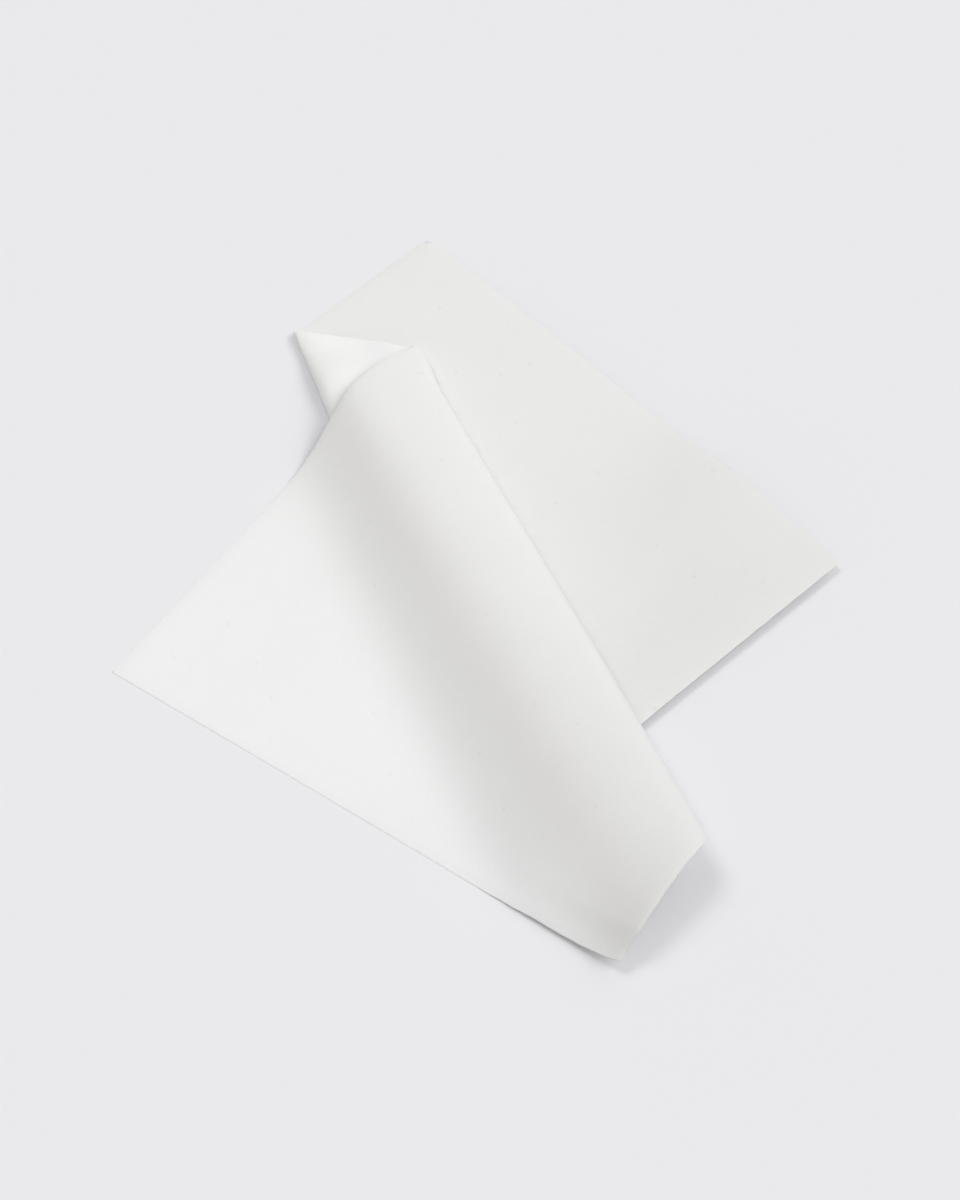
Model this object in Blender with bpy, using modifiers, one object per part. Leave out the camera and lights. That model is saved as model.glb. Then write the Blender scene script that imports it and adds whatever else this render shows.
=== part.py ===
"""A wet wipe: one sheet of nonwoven cloth that lies on a table in a soft, skewed S-fold.

The right-hand part lies flat, with its outer edges a little raised. The sheet turns up at
the lower fold and runs back to the right as the middle layer. At the ridge it turns over
to the left, comes down a slope and runs out flat on the table.

Seen from the near side, with +Y away and +X to the right, the sheet has a far and a near
edge, which the folds cross, and a right and a left edge. A place on the flat sheet is its
distance across, from the far edge, and along, from the right edge.

The bend lines run to one point, the apex, beyond the far right corner. Each row of the
sheet is a curve on a sphere about the apex: it keeps its distance from the apex, so the
cloth bends without stretching.
"""

import math

import bmesh
import bpy
import numpy as np

NODE_NAME = "wipe_sheet"
COLLECTION_NAME = "wet_wipe"

# The sheet, in metres
SHEET_WIDTH = 0.150
SHEET_LENGTH = 0.210
SHEET_THICKNESS = 0.0005

# The apex, beyond the far edge and beyond the right edge
APEX_BEYOND_FAR = 0.2888
APEX_BEYOND_RIGHT = 0.0803

# Where each bend line crosses the far edge, from the right edge
LOWER_FOLD_PLACE = 0.0502
RIDGE_PLACE = 0.0819
SHOULDER_PLACE = 0.1085

# How far the near end of a bend line strays from its line to the apex
RIDGE_STRAY = 0.0035
SHOULDER_STRAY = -0.0171

# Half of the width over which the cloth bends, at the far and at the near edge
LOWER_FOLD_HALF_FAR = 0.0075
LOWER_FOLD_HALF_NEAR = 0.0040
RIDGE_HALF_FAR = 0.0048
RIDGE_HALF_NEAR = 0.0107
SHOULDER_HALF_FAR = 0.0064
SHOULDER_HALF_NEAR = 0.0349
RUN_OUT_HALF_FAR = 0.0110
RUN_OUT_HALF_NEAR = 0.0104

# The free gap under the middle layer, where it starts up into the ridge
MIDDLE_GAP_FAR = 0.0011
MIDDLE_GAP_NEAR = 0.0052

# Slopes, in degrees: up from the ridge to the shoulder, and down from there to the table
CREST_RISE = 13.1
TOP_FALL = 29.9

# The right edge stands off the table in one long, low arch, with a shorter wave on it
EDGE_ARCH = 0.0020
EDGE_WAVE = 0.0040
EDGE_WAVE_PLACE = 0.118
EDGE_WAVE_HALF = 0.034
EDGE_LIFT_REACH = 0.045

# The near edge of the lowest layer stands off the table, from the right edge to the ridge
NEAR_LIFT = 0.0018
NEAR_LIFT_REACH = 0.030
NEAR_LIFT_FULL = 0.060
NEAR_LIFT_END = 0.100

# Facets: rows across the sheet, the most that a facet turns, and a flat facet's angle
ROW_COUNT = 7
FACET_TURN = math.radians(11.0)
FLAT_FACET = 0.020
SECTION_STEP = 0.0006
SOLVER_ROUNDS = 12
SOLVER_NUDGE = 1e-5

CLOTH_COLOUR = (0.86, 0.86, 0.855, 1.0)
CLOTH_ROUGHNESS = 0.85


def blend_rows(far, near):
    """A value for each row, from its values at the far and the near edge."""
    return far + (near - far) * np.linspace(0.0, 1.0, ROW_COUNT + 1)


def row_across():
    return blend_rows(0.0, SHEET_WIDTH)


def polar(across, along):
    """Distance and angle from the apex of places on the flat sheet."""
    x = np.asarray(across) + APEX_BEYOND_FAR
    y = np.asarray(along) + APEX_BEYOND_RIGHT
    return np.hypot(x, y), np.arctan2(y, x)


def bend_line(place, stray, half_far, half_near):
    """Centre angle and half angle of a bend in each row."""
    across = row_across()
    slope = (place + APEX_BEYOND_RIGHT) / APEX_BEYOND_FAR
    along = (across + APEX_BEYOND_FAR) * slope - APEX_BEYOND_RIGHT + blend_rows(0.0, stray)
    distance, centre = polar(across, along)
    return centre, blend_rows(half_far, half_near) / distance


def turn_rate(angles, centre, half, turn):
    """Turn for each unit of angle: a raised cosine over centre - half to centre + half."""
    offset = (angles[:, None] - centre) / half
    shape = np.where(np.abs(offset) < 1.0, 1.0 + np.cos(np.pi * offset), 0.0)
    return shape * turn / (2.0 * half)


def walk(angles, rates):
    """Follow every row of the sheet over the sphere about the apex.

    Gives, at each angle, the direction from the apex and the way on along the row.
    """
    step = angles[1] - angles[0]
    first = angles[0]
    out = np.tile([-math.sin(first), -math.cos(first), 0.0], (ROW_COUNT + 1, 1))
    onward = np.tile([-math.cos(first), math.sin(first), 0.0], (ROW_COUNT + 1, 1))
    normal = np.tile([0.0, 0.0, 1.0], (ROW_COUNT + 1, 1))
    outs = [out]
    onwards = [onward]
    for rate in 0.5 * (rates[1:] + rates[:-1]):
        cos_turn = np.cos(rate * step)[:, None]
        sin_turn = np.sin(rate * step)[:, None]
        onward, normal = onward * cos_turn + normal * sin_turn, normal * cos_turn - onward * sin_turn
        out, onward = (
            out * math.cos(step) + onward * math.sin(step),
            onward * math.cos(step) - out * math.sin(step),
        )
        outs.append(out)
        onwards.append(onward)
    return np.array(outs), np.array(onwards)


def section():
    """The folded rows: their angles, turn rates and directions from the apex."""
    corners = polar([0.0, SHEET_WIDTH, 0.0, SHEET_WIDTH], [0.0, 0.0, SHEET_LENGTH, SHEET_LENGTH])[1]
    lower, lower_half = bend_line(LOWER_FOLD_PLACE, 0.0, LOWER_FOLD_HALF_FAR, LOWER_FOLD_HALF_NEAR)
    ridge, ridge_half = bend_line(RIDGE_PLACE, RIDGE_STRAY, RIDGE_HALF_FAR, RIDGE_HALF_NEAR)
    shoulder, shoulder_half = bend_line(
        SHOULDER_PLACE, SHOULDER_STRAY, SHOULDER_HALF_FAR, SHOULDER_HALF_NEAR)
    longest = max(corners.max(), (shoulder + shoulder_half).max() + 0.25)
    angles = np.arange(corners.min() - SECTION_STEP, longest, SECTION_STEP)

    # The lower fold turns just so far that the middle layer comes down to its gap.
    middle_height = blend_rows(MIDDLE_GAP_FAR, MIDDLE_GAP_NEAR) + 2.0 * SHEET_THICKNESS
    ridge_start = ridge - ridge_half
    start_index = np.searchsorted(angles, ridge_start)
    start_distance = (row_across() + APEX_BEYOND_FAR) / np.cos(ridge_start)
    rows = np.arange(ROW_COUNT + 1)

    def height_error(turn):
        outs = walk(angles, turn_rate(angles, lower, lower_half, turn))[0]
        return outs[start_index, rows, 2] * start_distance - middle_height

    lower_turn = np.full(ROW_COUNT + 1, math.pi)
    for _ in range(SOLVER_ROUNDS):
        error = height_error(lower_turn)
        slope = (height_error(lower_turn + SOLVER_NUDGE) - error) / SOLVER_NUDGE
        lower_turn = lower_turn - error / slope

    rise = math.radians(CREST_RISE)
    fall = math.radians(TOP_FALL)
    rates = turn_rate(angles, lower, lower_half, lower_turn)
    rates += turn_rate(angles, ridge, ridge_half, rise - lower_turn)
    rates += turn_rate(angles, shoulder, shoulder_half, -(rise + fall))

    # The run-out starts from the line where the slope meets the table, and both its place
    # and its turn are then settled so that the left part lies flat on the table.
    outs, onwards = walk(angles, rates)
    normal = np.cross(onwards[-1], outs[-1])
    meeting = np.cross([0.0, 0.0, 1.0], normal)
    meeting /= np.linalg.norm(meeting, axis=1)[:, None]
    meeting *= np.sign((meeting * outs[-1]).sum(axis=1))[:, None]
    past = np.arctan2((meeting * onwards[-1]).sum(axis=1), (meeting * outs[-1]).sum(axis=1))
    place = angles[-1] + past
    turn = np.arccos(np.clip(normal[:, 2], -1.0, 1.0))
    row_distance = (row_across() + APEX_BEYOND_FAR) / np.cos(place)
    half = blend_rows(RUN_OUT_HALF_FAR, RUN_OUT_HALF_NEAR) / row_distance

    def table_error(place, turn):
        outs, onwards = walk(angles, rates + turn_rate(angles, place, half, turn))
        return np.stack([outs[-1, :, 2], onwards[-1, :, 2]], axis=1)

    for _ in range(SOLVER_ROUNDS):
        error = table_error(place, turn)
        by_place = (table_error(place + SOLVER_NUDGE, turn) - error) / SOLVER_NUDGE
        by_turn = (table_error(place, turn + SOLVER_NUDGE) - error) / SOLVER_NUDGE
        change = np.linalg.solve(np.stack([by_place, by_turn], axis=2), -error[:, :, None])[:, :, 0]
        place = place + change[:, 0]
        turn = turn + change[:, 1]
    rates += turn_rate(angles, place, half, turn)
    return angles, rates, walk(angles, rates)[0]


def cut_angles(angles, rates):
    """Angles of the cuts between facets, closer together where the cloth bends more."""
    turned = np.cumsum(np.abs(rates).max(axis=1) + FACET_TURN / FLAT_FACET) * SECTION_STEP
    count = math.ceil(turned[-1] / FACET_TURN)
    return np.interp(np.linspace(0.0, turned[-1], count + 1), turned, angles)[1:-1]


def flat_sheet(cuts):
    """The flat sheet as a bmesh at (across, along), cut along its rows and bend lines."""
    sheet = bmesh.new()
    bmesh.ops.create_grid(sheet, x_segments=1, y_segments=1, size=0.5)
    bmesh.ops.scale(sheet, vec=(SHEET_WIDTH, SHEET_LENGTH, 1.0), verts=sheet.verts)
    bmesh.ops.translate(sheet, vec=(SHEET_WIDTH / 2, SHEET_LENGTH / 2, 0.0), verts=sheet.verts)
    planes = [((across, 0.0, 0.0), (1.0, 0.0, 0.0)) for across in row_across()[1:-1]]
    apex = (-APEX_BEYOND_FAR, -APEX_BEYOND_RIGHT, 0.0)
    planes += [(apex, (-math.sin(angle), math.cos(angle), 0.0)) for angle in cuts]
    for point, normal in planes:
        geometry = sheet.verts[:] + sheet.edges[:] + sheet.faces[:]
        bmesh.ops.bisect_plane(sheet, geom=geometry, dist=1e-6, plane_co=point, plane_no=normal)
    return sheet


def ease_out(part):
    """From 1 down to 0, smoothly, while the part goes from 0 to 1."""
    part = min(max(part, 0.0), 1.0)
    return (1.0 - part) ** 2 * (1.0 + 2.0 * part)


def edge_lift(across, along):
    """Height of the right and near edges off the table, which dies away inwards."""
    arch = EDGE_ARCH * math.sin(math.pi * across / SHEET_WIDTH)
    offset = min(abs(across - EDGE_WAVE_PLACE) / EDGE_WAVE_HALF, 1.0)
    wave = EDGE_WAVE * (0.5 + 0.5 * math.cos(math.pi * offset))
    right = (arch + wave) * ease_out(along / EDGE_LIFT_REACH)
    near = NEAR_LIFT * ease_out((SHEET_WIDTH - across) / NEAR_LIFT_REACH)
    near *= ease_out((along - NEAR_LIFT_FULL) / (NEAR_LIFT_END - NEAR_LIFT_FULL))
    return right + near


def fold(sheet, angles, directions):
    """Move the flat sheet's vertices to their places on the folded sheet."""
    for vert in sheet.verts:
        across, along = vert.co.x, vert.co.y
        distance, angle = polar(across, along)
        row = across / SHEET_WIDTH * ROW_COUNT
        lower_row = min(int(row), ROW_COUNT - 1)
        part = row - lower_row
        sides = []
        for index in (lower_row, lower_row + 1):
            sides.append([np.interp(angle, angles, directions[:, index, axis]) for axis in range(3)])
        direction = np.array(sides[0]) * (1.0 - part) + np.array(sides[1]) * part
        vert.co = direction * float(distance) / np.linalg.norm(direction)
        vert.co.z += edge_lift(across, along)


def stand_in_frame(sheet, directions):
    """Turn the ridge along Y, and centre the sheet over the origin."""
    middle_row = directions[:, ROW_COUNT // 2]
    crest = middle_row[np.argmax(middle_row[:, 2])]
    turn = math.atan2(-crest[0], -crest[1])
    for vert in sheet.verts:
        x, y = vert.co.x, vert.co.y
        vert.co.x = x * math.cos(turn) - y * math.sin(turn)
        vert.co.y = x * math.sin(turn) + y * math.cos(turn)
    places = np.array([vert.co for vert in sheet.verts])
    middle = (places.max(axis=0) + places.min(axis=0)) / 2
    bmesh.ops.translate(sheet, vec=(-middle[0], -middle[1], 0.0), verts=sheet.verts)


def cloth_material():
    material = bpy.data.materials.new("nonwoven_cloth")
    material.use_nodes = True
    shader = material.node_tree.nodes["Principled BSDF"]
    shader.inputs["Base Color"].default_value = CLOTH_COLOUR
    shader.inputs["Roughness"].default_value = CLOTH_ROUGHNESS
    shader.inputs["Metallic"].default_value = 0.0
    return material


def build():
    for item in list(bpy.data.objects):
        bpy.data.objects.remove(item, do_unlink=True)
    collection = bpy.data.collections.new(COLLECTION_NAME)
    bpy.context.scene.collection.children.link(collection)

    angles, rates, directions = section()
    sheet = flat_sheet(cut_angles(angles, rates))
    fold(sheet, angles, directions)
    stand_in_frame(sheet, directions)
    bmesh.ops.reverse_faces(sheet, faces=sheet.faces)
    mesh = bpy.data.meshes.new(NODE_NAME)
    sheet.to_mesh(mesh)
    sheet.free()

    wipe = bpy.data.objects.new(NODE_NAME, mesh)
    collection.objects.link(wipe)
    mesh.materials.append(cloth_material())
    thickness = wipe.modifiers.new("thickness", "SOLIDIFY")
    thickness.thickness = SHEET_THICKNESS
    thickness.offset = 1.0
    thickness.use_even_offset = True


build()
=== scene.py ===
"""The looks of a wet wipe: one sheet of nonwoven cloth in a soft, skewed S-fold.

The sheet replaces the plain solid of the same shape. It is cut flat, folded over the
bend lines, given its own small unevenness, and then its thickness.
"""

import math

import bmesh
import bpy
import numpy as np
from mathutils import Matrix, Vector, noise


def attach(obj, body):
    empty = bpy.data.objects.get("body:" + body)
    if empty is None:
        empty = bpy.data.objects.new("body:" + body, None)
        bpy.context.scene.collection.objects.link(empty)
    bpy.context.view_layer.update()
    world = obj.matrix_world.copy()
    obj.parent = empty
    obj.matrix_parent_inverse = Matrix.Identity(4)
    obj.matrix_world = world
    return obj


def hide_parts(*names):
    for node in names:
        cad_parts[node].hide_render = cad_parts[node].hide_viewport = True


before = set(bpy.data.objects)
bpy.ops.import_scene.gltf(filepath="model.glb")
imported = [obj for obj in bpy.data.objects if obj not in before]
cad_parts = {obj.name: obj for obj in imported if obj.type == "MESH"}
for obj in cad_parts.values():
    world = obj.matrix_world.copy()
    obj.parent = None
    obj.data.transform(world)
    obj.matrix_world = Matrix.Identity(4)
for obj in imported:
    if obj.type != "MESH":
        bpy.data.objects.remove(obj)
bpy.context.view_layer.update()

# The sheet, in metres
SHEET_WIDTH = 0.150
SHEET_LENGTH = 0.210
SHEET_THICKNESS = 0.0005
SHOWN_THICKNESS = 0.00035

# The sheet thins out at its cut edges: to this share, over this width
EDGE_THICKNESS = 0.35
EDGE_TAPER = 0.0022

# Cuts across the sheet, and along it: up to the lower fold, in it, up to the ridge, in it,
# and on to the left edge
CUTS_ACROSS = 132
CUTS_ALONG = (70, 22, 42, 22, 112)

# The apex that the bend lines run to, beyond the far edge and beyond the right edge
APEX_BEYOND_FAR = 0.2888
APEX_BEYOND_RIGHT = 0.0803

# Where each bend line crosses the far edge, from the right edge
LOWER_FOLD_PLACE = 0.0502
RIDGE_PLACE = 0.0819
SHOULDER_PLACE = 0.1085

# How far the near end of a bend line strays from its line to the apex
RIDGE_STRAY = 0.0035
SHOULDER_STRAY = -0.0171

# Half of the width over which the cloth bends, at the far and at the near edge
LOWER_FOLD_HALF = (0.0075, 0.0040)
RIDGE_HALF = (0.0048, 0.0107)
SHOULDER_HALF = (0.0064, 0.0349)
RUN_OUT_HALF = (0.0110, 0.0104)

# The free gap under the middle layer, where it starts up into the ridge
MIDDLE_GAP = (0.0011, 0.0052)

# Slopes, in degrees: up from the ridge to the shoulder, and down from there to the table
CREST_RISE = 13.1
TOP_FALL = 29.9

# The right edge stands off the table in one long, low arch, with a shorter wave on it
EDGE_ARCH = 0.0020
EDGE_WAVE = 0.0040
EDGE_WAVE_PLACE = 0.118
EDGE_WAVE_HALF = 0.034
EDGE_LIFT_REACH = 0.045

# The near edge of the lowest layer stands off the table, from the right edge to the ridge
NEAR_LIFT = 0.0024
NEAR_LIFT_REACH = 0.030
NEAR_LIFT_FULL = 0.060
NEAR_LIFT_END = 0.100

# Soft local shapes, each a place in the frame, a shift there, and a reach: the ridge's far
# end droops and flares, and the middle layer swells where it comes out from under it, less
# so close to its far edge
NOSE_DROOP = ((0.0152, 0.0800, 0.0050), (0.0009, -0.0020, -0.0006), 0.0070)
NOSE_FLARE = ((0.0158, 0.0730, 0.0050), (0.0013, -0.0003, -0.0003), 0.0080)
CONE_SWELL = ((-0.0035, 0.0760, 0.0047), (0.0000, 0.0000, 0.0020), 0.0085)
CONE_EDGE_LOSS = 0.7
CONE_EDGE_REACH = 0.010

# The stretch along the sheet that has each shape: where it starts, is full, fades and ends
RIDGE_STRETCH = (0.070, 0.080, SHEET_LENGTH, SHEET_LENGTH + 0.010)
CONE_STRETCH = (0.048, 0.058, 0.074, 0.084)

# The left edge sags towards the table just short of the near left corner
LEFT_SAG = 0.0047
LEFT_SAG_PLACE = 0.140
LEFT_SAG_HALF = 0.017
LEFT_SAG_REACH = 0.045

# The near left corner curls down: a share of its height, and how far this reaches
CORNER_CURL = 0.32
CORNER_CURL_REACH = 0.045
CORNER_CURL_DEPTH = 0.010

# What curls down is also drawn in over the table, in x and in y, by these parts of the height
# lost. So is a share of the sag, which counts in full where the cloth is this far up.
CORNER_DRAW = (0.273, 0.666)
SAG_DRAWN = 0.30
SAG_DRAWN_HEIGHT = 0.001

# The far edge of the middle layer lies down: a share of its height, how far this reaches from
# the edge, and its stretch along the sheet
MIDDLE_TUCK = 0.42
MIDDLE_TUCK_REACH = 0.028
TUCK_STRETCH = (0.046, 0.054, 0.070, 0.080)

# How the folded sheet is turned and shifted from the apex to its place in the frame
FRAME_TURN = math.radians(21.2659)
FRAME_MIDDLE = (-0.00487, -0.41206)

# The folded rows: their count, the step of their angles, and the room before the sheet and
# past the shoulder, all angles in radians
ROW_COUNT = 24
SECTION_STEP = 0.0005
START_ROOM = 0.02
RUN_OUT_ROOM = 0.25

# The search for the turns that bring the cloth down to its gap and to the table
SOLVER_ROUNDS = 8
SOLVER_NUDGE = 1e-5

# Small unevenness: a low swell that fades towards the cut edges, and edges that run uneven
SWELL_HEIGHT = 0.00022
SWELL_SIZE = 0.028
SWELL_FADE = 0.009
EDGE_WANDER = 0.00018
EDGE_WANDER_REACH = 0.004
EDGE_WANDER_SIZES = (0.0035, 0.0012)

# Radii of the far right, near right, far left and near left corner
CORNER_RADIUS = (0.0030, 0.0008, 0.0006, 0.0006)

# How many of the web's patches lie on a millimetre, across and along the sheet
FIBRE_COUNTS = (2.4, 0.7)
TUFT_COUNTS = (0.55, 0.35)
CLOUD_COUNTS = (0.055, 0.04)
PILL_COUNTS = (1 / 24, 1 / 24)

# A pill is full up to one radius and gone at the other, in parts of its patch, and its height
# is a part of the web's relief
PILL_RADII = (0.010, 0.024)
PILL_HEIGHT = 0.8
WEB_RELIEF = 0.00012

# How much the fibres, the clouds and the pills change the tint
FIBRE_TINT = 0.030
CLOUD_TINT = 0.033
PILL_TINT = -0.045

# A painted fall-off of light: the web's colour darkens towards the near edge, between two
# places across the sheet, in parts of the sheet's length
PAINTED_FALLOFF_PLACES = (0.25, 0.75)
PAINTED_FALLOFF_LEVELS = (0.971, 0.916)

# Painted shading of the web over the fold: the fold's light and shade go into its colour, as
# painted shade on the right part, a painted highlight on the middle layer and along the ridge,
# and a painted shaded band, a little warm, on the slope below the ridge. Places in parts of the
# sheet's length, counted along lines that lean as the ridge does, and the colour at each
RIDGE_LEAN = 0.56
PAINTED_SHADING_COLOURS = (
    (0.235, (0.813, 0.813, 0.797)),
    (0.270, (0.892, 0.892, 0.886)),
    (0.310, (0.886, 0.886, 0.880)),
    (0.345, (0.835, 0.835, 0.829)),
    (0.380, (0.885, 0.885, 0.881)),
    (0.410, (0.843, 0.842, 0.838)),
    (0.460, (0.818, 0.815, 0.808)),
    (0.510, (0.808, 0.803, 0.794)),
    (0.560, (0.746, 0.738, 0.725)),
    (0.605, (0.784, 0.780, 0.772)),
    (0.650, (0.826, 0.825, 0.820)),
    (0.720, (0.862, 0.862, 0.860)),
)

FLOOR_COLOUR = (0.820, 0.820, 0.838)

# Soft suns: name, azimuth and elevation in degrees, share of a level floor's light, and width
# in degrees. The sky adds its own level.
SUNS = (
    ("back_left", -35.0, 66.0, 0.20, 26.0),
    ("back_right", 66.0, 34.0, 0.07, 36.0),
    ("right", 120.0, 52.0, 0.26, 34.0),
    ("front", 200.0, 54.0, 0.13, 24.0),
    ("left", -105.0, 26.0, 0.020, 50.0),
)
WORLD_LEVEL = 0.32

# The camera: its lens in millimetres, its direction and distance from its aim, and the aim
CAMERA_LENS = 117.59
CAMERA_AZIMUTH = math.radians(-22.293)
CAMERA_ELEVATION = math.radians(54.460)
CAMERA_DISTANCE = 0.97309
CAMERA_AIM = (0.00271, -0.00073, 0.0)


def blend_rows(far, near):
    """A value for each row, from its values at the far and the near edge."""
    return far + (near - far) * np.linspace(0.0, 1.0, ROW_COUNT + 1)


def polar(across, along):
    """Distance and angle from the apex of places on the flat sheet."""
    x = np.asarray(across) + APEX_BEYOND_FAR
    y = np.asarray(along) + APEX_BEYOND_RIGHT
    return np.hypot(x, y), np.arctan2(y, x)


def fold_middle(across, place, stray):
    """Where a bend line lies along the sheet, at a place across it."""
    slope = (place + APEX_BEYOND_RIGHT) / APEX_BEYOND_FAR
    return (across + APEX_BEYOND_FAR) * slope - APEX_BEYOND_RIGHT + stray * across / SHEET_WIDTH


def bend_line(place, stray, half):
    """Centre angle and half angle of a bend in each row."""
    across = blend_rows(0.0, SHEET_WIDTH)
    distance, centre = polar(across, fold_middle(across, place, stray))
    return centre, blend_rows(*half) / distance


def turn_rate(angles, centre, half, turn):
    """Turn for each unit of angle: a raised cosine over centre - half to centre + half."""
    offset = (angles[:, None] - centre) / half
    shape = np.where(np.abs(offset) < 1.0, 1.0 + np.cos(np.pi * offset), 0.0)
    return shape * turn / (2.0 * half)


def walk(angles, rates):
    """Follow every row of the sheet over the sphere about the apex."""
    step = angles[1] - angles[0]
    first = angles[0]
    out = np.tile([-math.sin(first), -math.cos(first), 0.0], (ROW_COUNT + 1, 1))
    onward = np.tile([-math.cos(first), math.sin(first), 0.0], (ROW_COUNT + 1, 1))
    normal = np.tile([0.0, 0.0, 1.0], (ROW_COUNT + 1, 1))
    outs = [out]
    onwards = [onward]
    for rate in 0.5 * (rates[1:] + rates[:-1]):
        cos_turn = np.cos(rate * step)[:, None]
        sin_turn = np.sin(rate * step)[:, None]
        onward, normal = onward * cos_turn + normal * sin_turn, normal * cos_turn - onward * sin_turn
        out, onward = (
            out * math.cos(step) + onward * math.sin(step),
            onward * math.cos(step) - out * math.sin(step),
        )
        outs.append(out)
        onwards.append(onward)
    return np.array(outs), np.array(onwards)


def section():
    """The folded rows: their angles and their directions from the apex."""
    corners = polar([0.0, SHEET_WIDTH, 0.0, SHEET_WIDTH], [0.0, 0.0, SHEET_LENGTH, SHEET_LENGTH])[1]
    lower, lower_half = bend_line(LOWER_FOLD_PLACE, 0.0, LOWER_FOLD_HALF)
    ridge, ridge_half = bend_line(RIDGE_PLACE, RIDGE_STRAY, RIDGE_HALF)
    shoulder, shoulder_half = bend_line(SHOULDER_PLACE, SHOULDER_STRAY, SHOULDER_HALF)
    longest = max(corners.max(), (shoulder + shoulder_half).max() + RUN_OUT_ROOM)
    angles = np.arange(corners.min() - START_ROOM, longest, SECTION_STEP)

    # The lower fold turns just so far that the middle layer comes down to its gap.
    middle_height = blend_rows(*MIDDLE_GAP) + 2.0 * SHEET_THICKNESS
    ridge_start = ridge - ridge_half
    start_index = np.searchsorted(angles, ridge_start)
    start_distance = (blend_rows(0.0, SHEET_WIDTH) + APEX_BEYOND_FAR) / np.cos(ridge_start)
    rows = np.arange(ROW_COUNT + 1)

    def height_error(turn):
        outs = walk(angles, turn_rate(angles, lower, lower_half, turn))[0]
        return outs[start_index, rows, 2] * start_distance - middle_height

    lower_turn = np.full(ROW_COUNT + 1, math.pi)
    for _ in range(SOLVER_ROUNDS):
        error = height_error(lower_turn)
        slope = (height_error(lower_turn + SOLVER_NUDGE) - error) / SOLVER_NUDGE
        lower_turn = lower_turn - error / slope

    rise = math.radians(CREST_RISE)
    fall = math.radians(TOP_FALL)
    rates = turn_rate(angles, lower, lower_half, lower_turn)
    rates += turn_rate(angles, ridge, ridge_half, rise - lower_turn)
    rates += turn_rate(angles, shoulder, shoulder_half, -(rise + fall))

    # The run-out starts from the line where the slope meets the table, and both its place
    # and its turn are then settled so that the left part lies flat on the table.
    outs, onwards = walk(angles, rates)
    normal = np.cross(onwards[-1], outs[-1])
    meeting = np.cross([0.0, 0.0, 1.0], normal)
    meeting /= np.linalg.norm(meeting, axis=1)[:, None]
    meeting *= np.sign((meeting * outs[-1]).sum(axis=1))[:, None]
    past = np.arctan2((meeting * onwards[-1]).sum(axis=1), (meeting * outs[-1]).sum(axis=1))
    place = angles[-1] + past
    turn = np.arccos(np.clip(normal[:, 2], -1.0, 1.0))
    row_distance = (blend_rows(0.0, SHEET_WIDTH) + APEX_BEYOND_FAR) / np.cos(place)
    half = blend_rows(*RUN_OUT_HALF) / row_distance

    def table_error(place, turn):
        outs, onwards = walk(angles, rates + turn_rate(angles, place, half, turn))
        return np.stack([outs[-1, :, 2], onwards[-1, :, 2]], axis=1)

    for _ in range(SOLVER_ROUNDS):
        error = table_error(place, turn)
        by_place = (table_error(place + SOLVER_NUDGE, turn) - error) / SOLVER_NUDGE
        by_turn = (table_error(place, turn + SOLVER_NUDGE) - error) / SOLVER_NUDGE
        change = np.linalg.solve(np.stack([by_place, by_turn], axis=2), -error[:, :, None])[:, :, 0]
        place = place + change[:, 0]
        turn = turn + change[:, 1]
    rates += turn_rate(angles, place, half, turn)
    return angles, walk(angles, rates)[0]


def ease_out(part):
    """From 1 down to 0, smoothly, while the part goes from 0 to 1."""
    part = np.clip(part, 0.0, 1.0)
    return (1.0 - part) ** 2 * (1.0 + 2.0 * part)


def stretch_share(along, stretch):
    """From 0 up to 1 and down to 0 again, over the four places of a stretch."""
    start, full, fading, end = stretch
    return ease_out((full - along) / (full - start)) * ease_out((along - fading) / (end - fading))


def edge_lift(across, along):
    """Height of the right and near edges off the table, which dies away inwards."""
    arch = EDGE_ARCH * np.sin(np.pi * np.clip(across / SHEET_WIDTH, 0.0, 1.0))
    offset = np.minimum(np.abs(across - EDGE_WAVE_PLACE) / EDGE_WAVE_HALF, 1.0)
    wave = EDGE_WAVE * (0.5 + 0.5 * np.cos(np.pi * offset))
    right = (arch + wave) * ease_out(along / EDGE_LIFT_REACH)
    near = NEAR_LIFT * ease_out((SHEET_WIDTH - across) / NEAR_LIFT_REACH)
    near *= ease_out((along - NEAR_LIFT_FULL) / (NEAR_LIFT_END - NEAR_LIFT_FULL))
    return right + near


def left_sag(across, along):
    """How far the left edge sags, which dies away inwards and to both sides."""
    sideways = np.exp(-((across - LEFT_SAG_PLACE) / LEFT_SAG_HALF) ** 2)
    return LEFT_SAG * sideways * ease_out((SHEET_LENGTH - along) / LEFT_SAG_REACH)


def curl(across, along):
    """Share of its height that the near left corner loses as it curls down."""
    near = ease_out((SHEET_WIDTH - across) / CORNER_CURL_REACH)
    return CORNER_CURL * near * ease_out((SHEET_LENGTH - along) / CORNER_CURL_DEPTH)


def tuck(across, along):
    """Share of its height that the middle layer loses at its far edge."""
    return MIDDLE_TUCK * stretch_share(along, TUCK_STRETCH) * ease_out(across / MIDDLE_TUCK_REACH)


def shift_near(place, middle, shift, reach):
    """A shift that is full at its middle and dies away over the reach."""
    distance = np.linalg.norm(place - np.array(middle), axis=1)
    return np.exp(-(distance / reach) ** 2)[:, None] * np.array(shift)


def folded_places(across, along):
    """Where places on the flat sheet are once it is folded, from the apex."""
    angles, directions = section()
    distance, angle = polar(across, along)

    # Each place lies between two angles and between two rows.
    at = np.clip((angle - angles[0]) / SECTION_STEP, 0, len(angles) - 1.001)
    row = np.clip(across / SHEET_WIDTH * ROW_COUNT, 0, ROW_COUNT - 0.001)
    at_low, row_low = at.astype(int), row.astype(int)
    at_part, row_part = (at - at_low)[:, None], (row - row_low)[:, None]

    def on_row(which):
        return directions[at_low, which] * (1 - at_part) + directions[at_low + 1, which] * at_part

    direction = on_row(row_low) * (1 - row_part) + on_row(row_low + 1) * row_part
    return direction / np.linalg.norm(direction, axis=1)[:, None] * distance[:, None]


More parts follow.
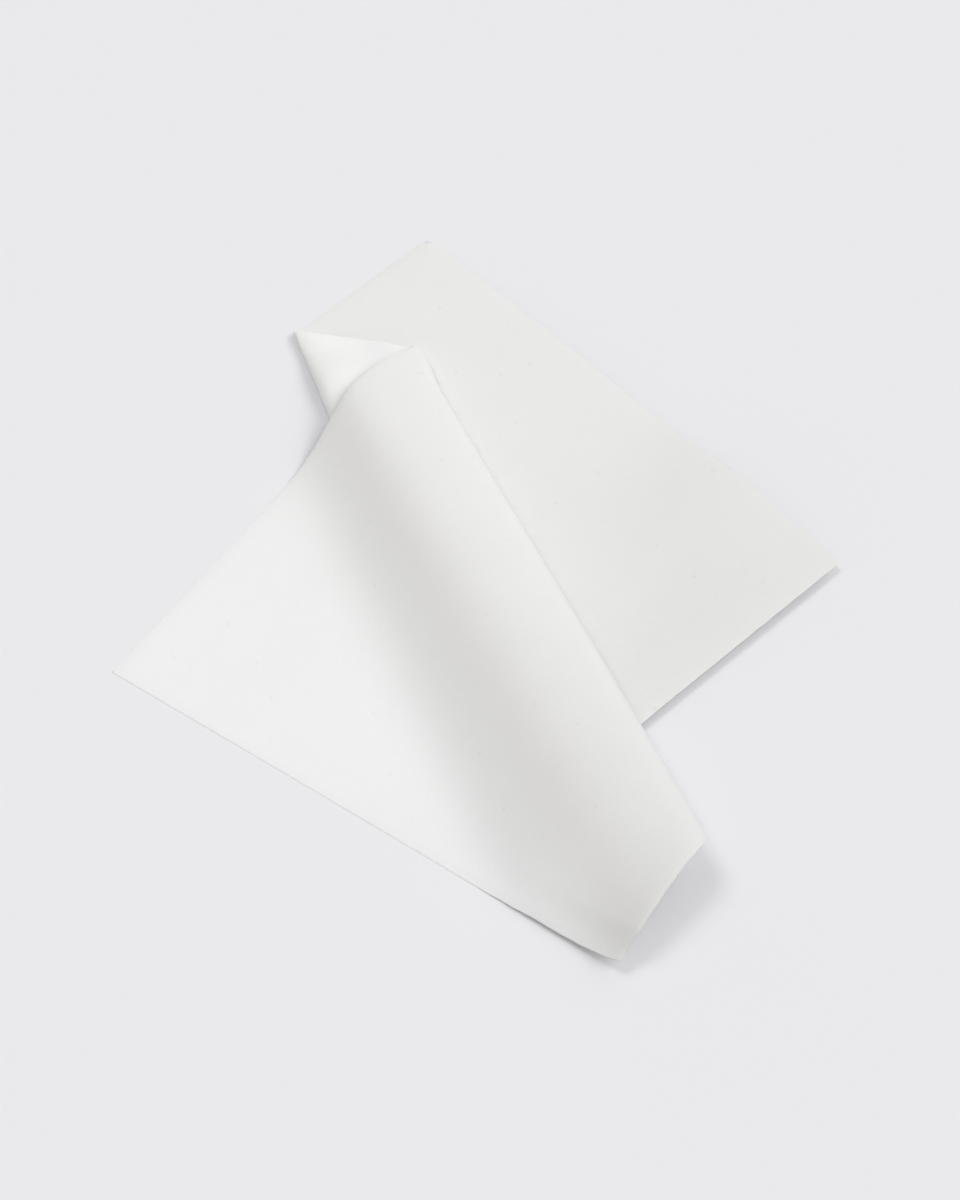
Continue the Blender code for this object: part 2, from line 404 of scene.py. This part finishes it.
def settled_places(across, along):
    """The folded places in the frame, with the soft local shapes of the real cloth."""
    place = folded_places(across, along)
    sag = left_sag(across, along)
    height = np.maximum(place[:, 2] + edge_lift(across, along) - sag, 0.0)
    x = place[:, 0] * math.cos(FRAME_TURN) - place[:, 1] * math.sin(FRAME_TURN) - FRAME_MIDDLE[0]
    y = place[:, 0] * math.sin(FRAME_TURN) + place[:, 1] * math.cos(FRAME_TURN) - FRAME_MIDDLE[1]
    lost = height * curl(across, along)
    drawn = lost + SAG_DRAWN * sag * np.minimum(height / SAG_DRAWN_HEIGHT, 1.0)
    x += CORNER_DRAW[0] * drawn
    y += CORNER_DRAW[1] * drawn
    height = (height - lost) * (1.0 - tuck(across, along))
    place = np.stack([x, y, height], axis=1)

    ridge_share = stretch_share(along, RIDGE_STRETCH)[:, None]
    cone_share = stretch_share(along, CONE_STRETCH)
    cone_share *= 1.0 - CONE_EDGE_LOSS * ease_out(across / CONE_EDGE_REACH)
    change = shift_near(place, *NOSE_DROOP) * ridge_share
    change += shift_near(place, *NOSE_FLARE) * ridge_share
    change += shift_near(place, *CONE_SWELL) * cone_share[:, None]
    return place + change


def round_corner(vert, corner_x, corner_y, radius):
    """Draw the sheet's sharp corner in to a round one."""
    side_x = 1.0 if corner_x > 0.0 else -1.0
    side_y = 1.0 if corner_y > 0.0 else -1.0
    in_x = (vert.co.x - (corner_x - side_x * radius)) * side_x
    in_y = (vert.co.y - (corner_y - side_y * radius)) * side_y
    if in_x > 0.0 and in_y > 0.0:
        pull = max(in_x, in_y) / math.hypot(in_x, in_y)
        vert.co.x -= side_x * in_x * (1.0 - pull)
        vert.co.y -= side_y * in_y * (1.0 - pull)


def wander_edge(vert):
    """Let the cut edges of the flat sheet run a little uneven."""
    for axis, length in ((0, SHEET_WIDTH), (1, SHEET_LENGTH)):
        from_edge = min(vert.co[axis], length - vert.co[axis])
        reach = max(0.0, 1.0 - from_edge / EDGE_WANDER_REACH)
        if reach > 0.0:
            side = 1.0 if vert.co[axis] < length / 2 else -1.0
            other = vert.co[1 - axis]
            # Each edge runs on a line of its own through the noise.
            line = axis * 7.0 + side * 3.0
            shift = noise.noise(Vector((other / EDGE_WANDER_SIZES[0], line, 1.0)))
            shift += 0.5 * noise.noise(Vector((other / EDGE_WANDER_SIZES[1], line, 4.0)))
            vert.co[axis] += side * (0.5 + 0.5 * shift) * EDGE_WANDER * reach


def fold_edges(across):
    """Where the lower fold and the ridge start and end, at a place across the sheet."""
    edges = [0.0]
    folds = ((LOWER_FOLD_PLACE, 0.0, LOWER_FOLD_HALF), (RIDGE_PLACE, RIDGE_STRAY, RIDGE_HALF))
    for place, stray, half in folds:
        middle = fold_middle(across, place, stray)
        width = half[0] + (half[1] - half[0]) * across / SHEET_WIDTH
        edges += [middle - width, middle + width]
    return edges + [SHEET_LENGTH]


def cut_sheet():
    """The flat sheet as a bmesh at (across, along), with its own map of flat places.

    The cuts along it run beside the folds, and lie closer together in them.
    """
    sheet = bmesh.new()
    bmesh.ops.create_grid(sheet, x_segments=CUTS_ACROSS, y_segments=sum(CUTS_ALONG), size=0.5)
    bmesh.ops.translate(sheet, vec=(0.5, 0.5, 0.0), verts=sheet.verts)
    bmesh.ops.scale(sheet, vec=(SHEET_WIDTH, 1.0, 1.0), verts=sheet.verts)
    cut_counts = np.concatenate([[0.0], np.cumsum(CUTS_ALONG)]) / sum(CUTS_ALONG)
    for vert in sheet.verts:
        vert.co.y = np.interp(vert.co.y, cut_counts, fold_edges(vert.co.x))
    flat_map = sheet.loops.layers.uv.new("flat_sheet")
    for face in sheet.faces:
        for loop in face.loops:
            loop[flat_map].uv = (loop.vert.co.x / SHEET_LENGTH, loop.vert.co.y / SHEET_LENGTH)
    corners = ((0.0, 0.0), (SHEET_WIDTH, 0.0), (0.0, SHEET_LENGTH), (SHEET_WIDTH, SHEET_LENGTH))
    for vert in sheet.verts:
        for (corner_x, corner_y), radius in zip(corners, CORNER_RADIUS):
            round_corner(vert, corner_x, corner_y, radius)
        wander_edge(vert)
    return sheet


def swell(place):
    """Low, broad unevenness, never below the cloth's own level."""
    point = Vector(place) / SWELL_SIZE
    return SWELL_HEIGHT * (0.5 + 0.5 * noise.fractal(point, 1.0, 2.0, 3))


def inside(x, y, reach):
    """From 0 at the cut edges of the flat sheet up to 1 once the reach is passed."""
    from_edge = min(x, SHEET_WIDTH - x, y, SHEET_LENGTH - y)
    return min(max(from_edge, 0.0) / reach, 1.0)


def thin_towards_edges(wipe, flat):
    """A vertex group that is full inside the sheet and runs out at its cut edges."""
    group = wipe.vertex_groups.new(name="body")
    for index, (x, y) in enumerate(flat):
        group.add([index], inside(x, y, EDGE_TAPER), "REPLACE")
    return group.name


def make_sheet(material):
    sheet = cut_sheet()
    flat = np.array([vert.co[:2] for vert in sheet.verts])
    places = settled_places(flat[:, 0], flat[:, 1])
    for vert, place in zip(sheet.verts, places):
        vert.co = place
    bmesh.ops.reverse_faces(sheet, faces=sheet.faces)
    sheet.normal_update()
    lifts = [swell((x, y, 0.0)) * inside(x, y, SWELL_FADE) for x, y in flat]
    for vert, lift in zip(sheet.verts, lifts):
        vert.co += vert.normal * lift
    for face in sheet.faces:
        face.smooth = True
    mesh = bpy.data.meshes.new("wet_wipe")
    sheet.to_mesh(mesh)
    sheet.free()
    mesh.materials.append(material)
    wipe = bpy.data.objects.new("wet_wipe", mesh)
    bpy.context.scene.collection.objects.link(wipe)
    thickness = wipe.modifiers.new("thickness", "SOLIDIFY")
    thickness.thickness = SHOWN_THICKNESS
    thickness.offset = 1.0
    thickness.vertex_group = thin_towards_edges(wipe, flat)
    thickness.thickness_vertex_group = EDGE_THICKNESS
    # The narrow cut edge doesn't bend the shading of the faces beside it.
    evened = wipe.modifiers.new("evened", "WEIGHTED_NORMAL")
    evened.mode = "FACE_AREA"
    evened.weight = 90
    return wipe


def link(tree, out_node, out_name, in_node, in_name):
    tree.links.new(out_node.outputs[out_name], in_node.inputs[in_name])


def nonwoven_material():
    """White nonwoven: a felted web of fine fibres, faintly clouded, with stray pills."""
    material = bpy.data.materials.new("nonwoven_cloth")
    material.use_nodes = True
    tree = material.node_tree
    shader = tree.nodes["Principled BSDF"]
    shader.inputs["Roughness"].default_value = 0.78
    shader.inputs["Specular IOR Level"].default_value = 0.3
    shader.inputs["Sheen Weight"].default_value = 0.15
    shader.inputs["Sheen Roughness"].default_value = 0.5

    flat_map = tree.nodes.new("ShaderNodeUVMap")
    flat_map.uv_map = "flat_sheet"

    def spread(counts):
        """The flat sheet's map, with so many patches on a millimetre across and along."""
        millimetres = SHEET_LENGTH * 1000.0
        scale = (millimetres * counts[0], millimetres * counts[1], 1.0)
        mapping = tree.nodes.new("ShaderNodeMapping")
        mapping.inputs["Scale"].default_value = scale
        link(tree, flat_map, "UV", mapping, "Vector")
        return mapping

    def web(counts, detail, distortion):
        texture = tree.nodes.new("ShaderNodeTexNoise")
        texture.inputs["Scale"].default_value = 1.0
        texture.inputs["Detail"].default_value = detail
        texture.inputs["Roughness"].default_value = 0.6
        texture.inputs["Distortion"].default_value = distortion
        link(tree, spread(counts), "Vector", texture, "Vector")
        return texture

    def add_share(node, name, share, other, other_name):
        """A share of one value on top of another."""
        total = tree.nodes.new("ShaderNodeMath")
        total.operation = "MULTIPLY_ADD"
        total.inputs[1].default_value = share
        link(tree, node, name, total, 0)
        link(tree, other, other_name, total, 2)
        return total

    def ramp(node, name, places, levels):
        """A smooth change from one level to another between two places."""
        change = tree.nodes.new("ShaderNodeMapRange")
        change.interpolation_type = "SMOOTHSTEP"
        change.inputs["From Min"].default_value = places[0]
        change.inputs["From Max"].default_value = places[1]
        change.inputs["To Min"].default_value = levels[0]
        change.inputs["To Max"].default_value = levels[1]
        link(tree, node, name, change, "Value")
        return change

    fibres = web(FIBRE_COUNTS, 5.0, 1.2)
    tufts = web(TUFT_COUNTS, 3.0, 0.6)
    clouds = web(CLOUD_COUNTS, 3.0, 0.0)

    # Stray pills, about one on each patch
    patches = tree.nodes.new("ShaderNodeTexVoronoi")
    patches.voronoi_dimensions = "2D"
    patches.inputs["Scale"].default_value = 1.0
    link(tree, spread(PILL_COUNTS), "Vector", patches, "Vector")
    pills = ramp(patches, "Distance", PILL_RADII, (1.0, 0.0))

    # Painted shading: the fold's light and shade go into the colour, along lines beside the ridge.
    places = tree.nodes.new("ShaderNodeSeparateXYZ")
    link(tree, flat_map, "UV", places, "Vector")
    beside_ridge = add_share(places, "X", -RIDGE_LEAN, places, "Y")
    painted_shading = tree.nodes.new("ShaderNodeValToRGB")
    painted_shading.color_ramp.interpolation = "B_SPLINE"
    for place, colour in PAINTED_SHADING_COLOURS[1:-1]:
        painted_shading.color_ramp.elements.new(place)
    for element, (place, colour) in zip(painted_shading.color_ramp.elements, PAINTED_SHADING_COLOURS):
        element.position = place
        element.color = (*colour, 1.0)
    link(tree, beside_ridge, "Value", painted_shading, "Fac")

    # Fibres, clouds and pills vary it, and a painted fall-off of light darkens it towards the near
    # edge.
    level = ramp(places, "X", PAINTED_FALLOFF_PLACES, PAINTED_FALLOFF_LEVELS)
    cloudy = add_share(clouds, "Fac", CLOUD_TINT, level, "Result")
    fibrous = add_share(fibres, "Fac", FIBRE_TINT, cloudy, "Value")
    varied = add_share(pills, "Result", PILL_TINT, fibrous, "Value")
    tint_with_painted_shade = tree.nodes.new("ShaderNodeVectorMath")
    tint_with_painted_shade.operation = "SCALE"
    link(tree, painted_shading, "Color", tint_with_painted_shade, "Vector")
    link(tree, varied, "Value", tint_with_painted_shade, "Scale")
    link(tree, tint_with_painted_shade, "Vector", shader, "Base Color")

    height = add_share(fibres, "Fac", 1.0, tufts, "Fac")
    pilled = add_share(pills, "Result", PILL_HEIGHT, height, "Value")
    bump = tree.nodes.new("ShaderNodeBump")
    bump.inputs["Strength"].default_value = 0.5
    bump.inputs["Distance"].default_value = WEB_RELIEF
    link(tree, pilled, "Value", bump, "Height")
    link(tree, bump, "Normal", shader, "Normal")
    return material


def floor_material():
    material = bpy.data.materials.new("pale_floor")
    material.use_nodes = True
    shader = material.node_tree.nodes["Principled BSDF"]
    shader.inputs["Base Color"].default_value = (*FLOOR_COLOUR, 1.0)
    shader.inputs["Roughness"].default_value = 1.0
    shader.inputs["Specular IOR Level"].default_value = 0.0
    return material


def make_floor():
    plane = bmesh.new()
    bmesh.ops.create_grid(plane, x_segments=1, y_segments=1, size=4.0)
    mesh = bpy.data.meshes.new("floor")
    plane.to_mesh(mesh)
    plane.free()
    mesh.materials.append(floor_material())
    floor = bpy.data.objects.new("floor", mesh)
    bpy.context.scene.collection.objects.link(floor)


def make_world():
    world = bpy.data.worlds.new("studio")
    world.use_nodes = True
    tree = world.node_tree
    tree.nodes.clear()
    output = tree.nodes.new("ShaderNodeOutputWorld")
    light = tree.nodes.new("ShaderNodeBackground")
    light.inputs["Color"].default_value = (1.0, 1.0, 1.0, 1.0)
    light.inputs["Strength"].default_value = WORLD_LEVEL
    seen = tree.nodes.new("ShaderNodeBackground")
    seen.inputs["Color"].default_value = (*FLOOR_COLOUR, 1.0)
    rays = tree.nodes.new("ShaderNodeLightPath")
    either = tree.nodes.new("ShaderNodeMath")
    either.operation = "MAXIMUM"
    link(tree, rays, "Is Camera Ray", either, 0)
    link(tree, rays, "Is Glossy Ray", either, 1)
    mix = tree.nodes.new("ShaderNodeMixShader")
    link(tree, either, "Value", mix, "Fac")
    tree.links.new(light.outputs[0], mix.inputs[1])
    tree.links.new(seen.outputs[0], mix.inputs[2])
    tree.links.new(mix.outputs[0], output.inputs[0])
    bpy.context.scene.world = world


def sun(name, azimuth, elevation, level, spread):
    """A soft sun that lights a level floor to the given share of full level."""
    around = math.radians(azimuth)
    above = math.radians(elevation)
    lamp = bpy.data.lights.new(name, "SUN")
    lamp.energy = math.pi * level / math.sin(above)
    lamp.angle = math.radians(spread)
    item = bpy.data.objects.new(name, lamp)
    bpy.context.scene.collection.objects.link(item)
    towards = Vector((
        math.sin(around) * math.cos(above),
        math.cos(around) * math.cos(above),
        math.sin(above),
    ))
    item.rotation_euler = towards.to_track_quat("Z", "Y").to_euler()


def make_camera():
    lens = bpy.data.cameras.new("camera")
    lens.lens = CAMERA_LENS
    lens.sensor_width = 36.0
    lens.clip_start = 0.01
    lens.clip_end = 50.0
    camera = bpy.data.objects.new("camera", lens)
    bpy.context.scene.collection.objects.link(camera)
    back = Vector((
        math.sin(CAMERA_AZIMUTH) * math.cos(CAMERA_ELEVATION),
        -math.cos(CAMERA_AZIMUTH) * math.cos(CAMERA_ELEVATION),
        math.sin(CAMERA_ELEVATION),
    ))
    camera.location = Vector(CAMERA_AIM) + back * CAMERA_DISTANCE
    camera.rotation_euler = (-back).to_track_quat("-Z", "Y").to_euler()
    bpy.context.scene.camera = camera


make_camera()
make_world()
for lamp_values in SUNS:
    sun(*lamp_values)
make_floor()

wipe = make_sheet(nonwoven_material())
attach(wipe, "root")
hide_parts("wipe_sheet")

bpy.context.scene.view_settings.view_transform = "Standard"
